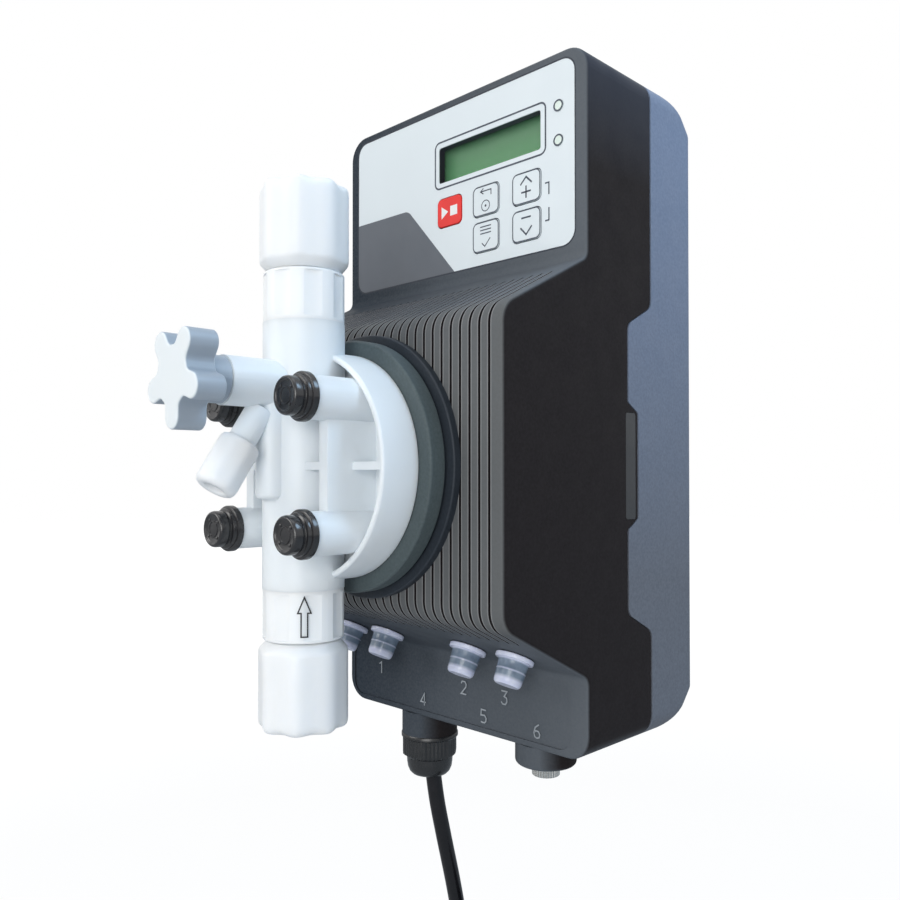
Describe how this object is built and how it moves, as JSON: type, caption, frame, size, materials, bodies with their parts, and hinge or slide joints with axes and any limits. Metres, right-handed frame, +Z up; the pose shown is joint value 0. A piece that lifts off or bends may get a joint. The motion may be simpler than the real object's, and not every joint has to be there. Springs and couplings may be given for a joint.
{
  "type": "dosing pump",
  "caption": "Wall-mounted solenoid diaphragm dosing pump with display panel, ribbed hump, upright valve column, bleed valve and mains cord.",
  "frame": {"origin": "middle of the flat back that lies on the wall, at half the height and width of the case", "axes": "+Y into the wall, so -Y is out of the wall towards someone facing the pump; +X to their right; +Z up along the valve column"},
  "size_m": [0.1208, 0.175, 0.474],
  "materials": {
    "cover_plastic": "fine-grained dark slate grey moulded plastic",
    "housing_plastic": "fine-grained blue-grey moulded plastic",
    "seal_rubber": "black seal rubber",
    "screw_steel": "plain steel",
    "plate_plastic": "bare black plate",
    "label_film": null,
    "clear_window": "clear display window",
    "display_glass": "green character display",
    "lamp_plastic": "small diffuse indicator lenses",
    "key_red": "soft red key",
    "key_white": null,
    "board_green": "circuit board with components",
    "can_steel": "black coated steel",
    "core_steel": "turned soft iron",
    "bush_bronze": "sintered bronze",
    "bobbin_plastic": "glass-filled black plastic",
    "winding_copper": "enamelled copper wire",
    "rod_steel": "ground stainless steel",
    "diaphragm_polymer": "white fluoropolymer-faced rubber",
    "spring_steel": "spring wire",
    "collar_plastic": "dark slate plastic",
    "ring_plastic": "dark green-grey plastic",
    "head_plastic": "milky translucent plastic",
    "cap_black": "glossy black plastic",
    "valve_plastic": "milky translucent plastic",
    "seat_rubber": "black elastomer",
    "ball_ceramic": "polished white ceramic",
    "nut_plastic": "white moulded plastic",
    "cone_plastic": "milky moulded plastic",
    "knob_plastic": "milky moulded plastic",
    "bleed_nut_plastic": "milky moulded plastic",
    "dust_cap_plastic": "translucent soft plastic",
    "socket_metal": "nickel-plated metal",
    "gland_black": "black polyamide",
    "cord_sheath": "glossy black sheath",
    "tie_black": "black cable tie",
    "plug_black": "moulded black plug"
  },
  "bodies": {
    "case": {"front_cover": "cover_plastic", "rear_housing": "housing_plastic", "housing_gasket": "seal_rubber", "case_screws": "screw_steel", "side_plate": "plate_plastic", "label_overlay": "label_film", "lcd_window": "clear_window", "lcd_module": "display_glass", "lamp_lenses": "lamp_plastic", "display_board": "board_green", "power_board": "board_green", "board_screws": "screw_steel", "solenoid_can": "can_steel", "pole_core": "core_steel", "rod_bush": "bush_bronze", "coil_bobbin": "bobbin_plastic", "coil_winding": "winding_copper", "diaphragm": "diaphragm_polymer", "return_spring": "spring_steel", "mount_collar": "collar_plastic", "diaphragm_ring": "ring_plastic", "pump_head": "head_plastic", "head_screws": "screw_steel", "screw_caps": "cap_black", "discharge_valve_body": "valve_plastic", "discharge_seat": "seat_rubber", "discharge_nut": "nut_plastic", "discharge_hose_cone": "cone_plastic", "suction_valve_body": "valve_plastic", "suction_seat": "seat_rubber", "suction_nut": "nut_plastic", "suction_hose_cone": "cone_plastic", "bleed_nut": "bleed_nut_plastic", "signal_sockets": "socket_metal", "gland_body": "gland_black", "gland_seal": "seal_rubber", "gland_nut": "gland_black", "measuring_socket": "socket_metal", "mains_cord": "cord_sheath", "mains_cord_tail": "cord_sheath", "mains_cord_coil": "cord_sheath", "cord_tie": "tie_black", "mains_plug": "plug_black", "plug_pins": "socket_metal"},
    "start_stop_key": {"key_start_stop": "key_red"},
    "escape_key": {"key_escape": "key_white"},
    "menu_key": {"key_menu": "key_white"},
    "up_key": {"key_up": "key_white"},
    "down_key": {"key_down": "key_white"},
    "plunger": {"armature": "core_steel", "push_rod": "rod_steel", "diaphragm_hub": "rod_steel"},
    "discharge_ball_body": {"discharge_ball": "ball_ceramic"},
    "suction_ball_body": {"suction_ball": "ball_ceramic"},
    "bleed_spindle_body": {"bleed_spindle": "cone_plastic"},
    "bleed_knob": {"star_knob": "knob_plastic"},
    "dust_cap_1": {"socket_cap_1": "dust_cap_plastic"},
    "dust_cap_2": {"socket_cap_2": "dust_cap_plastic"},
    "dust_cap_3": {"socket_cap_3": "dust_cap_plastic"},
    "dust_cap_4": {"socket_cap_4": "dust_cap_plastic"}
  },
  "joints": [
    {"name": "start_stop_key_press", "type": "slide", "parent": "case", "child": "start_stop_key", "axis": [0, 1, 0], "range_m": [0, 0.0004], "stiffness_N_per_m": 500},
    {"name": "escape_key_press", "type": "slide", "parent": "case", "child": "escape_key", "axis": [0, 1, 0], "range_m": [0, 0.0004], "stiffness_N_per_m": 500},
    {"name": "menu_key_press", "type": "slide", "parent": "case", "child": "menu_key", "axis": [0, 1, 0], "range_m": [0, 0.0004], "stiffness_N_per_m": 500},
    {"name": "up_key_press", "type": "slide", "parent": "case", "child": "up_key", "axis": [0, 1, 0], "range_m": [0, 0.0004], "stiffness_N_per_m": 500},
    {"name": "down_key_press", "type": "slide", "parent": "case", "child": "down_key", "axis": [0, 1, 0], "range_m": [0, 0.0004], "stiffness_N_per_m": 500},
    {"name": "plunger_stroke", "type": "slide", "parent": "case", "child": "plunger", "axis": [0, -1, 0], "range_m": [0, 0.00125], "stiffness_N_per_m": 1500, "deforming": ["return_spring", "diaphragm"]},
    {"name": "discharge_ball_lift", "type": "slide", "parent": "case", "child": "discharge_ball_body", "axis": [0, 0, 1], "range_m": [0, 0.0012]},
    {"name": "suction_ball_lift", "type": "slide", "parent": "case", "child": "suction_ball_body", "axis": [0, 0, 1], "range_m": [0, 0.0012]},
    {"name": "bleed_spindle_lift", "type": "slide", "parent": "case", "child": "bleed_spindle_body", "axis": [0, -1, 0], "range_m": [0, 0.00125]},
    {"name": "bleed_knob_turn", "type": "hinge", "parent": "bleed_spindle_body", "child": "bleed_knob", "pos_m": [0, -0.17, 0.00365], "axis": [0, -1, 0], "range_deg": [0, 360]},
    {"name": "dust_cap_1_pull", "type": "slide", "parent": "case", "child": "dust_cap_1", "axis": [0, -0.454, -0.891], "range_m": [0, 0.012]},
    {"name": "dust_cap_2_pull", "type": "slide", "parent": "case", "child": "dust_cap_2", "axis": [0, -0.454, -0.891], "range_m": [0, 0.012]},
    {"name": "dust_cap_3_pull", "type": "slide", "parent": "case", "child": "dust_cap_3", "axis": [0, -0.454, -0.891], "range_m": [0, 0.012]},
    {"name": "dust_cap_4_pull", "type": "slide", "parent": "case", "child": "dust_cap_4", "axis": [0, -0.454, -0.891], "range_m": [0, 0.012]}
  ],
  "couplings": [
    {"joint": "bleed_knob_turn", "follows": "bleed_spindle_lift", "rad_per_m": 5026.5}
  ]
}
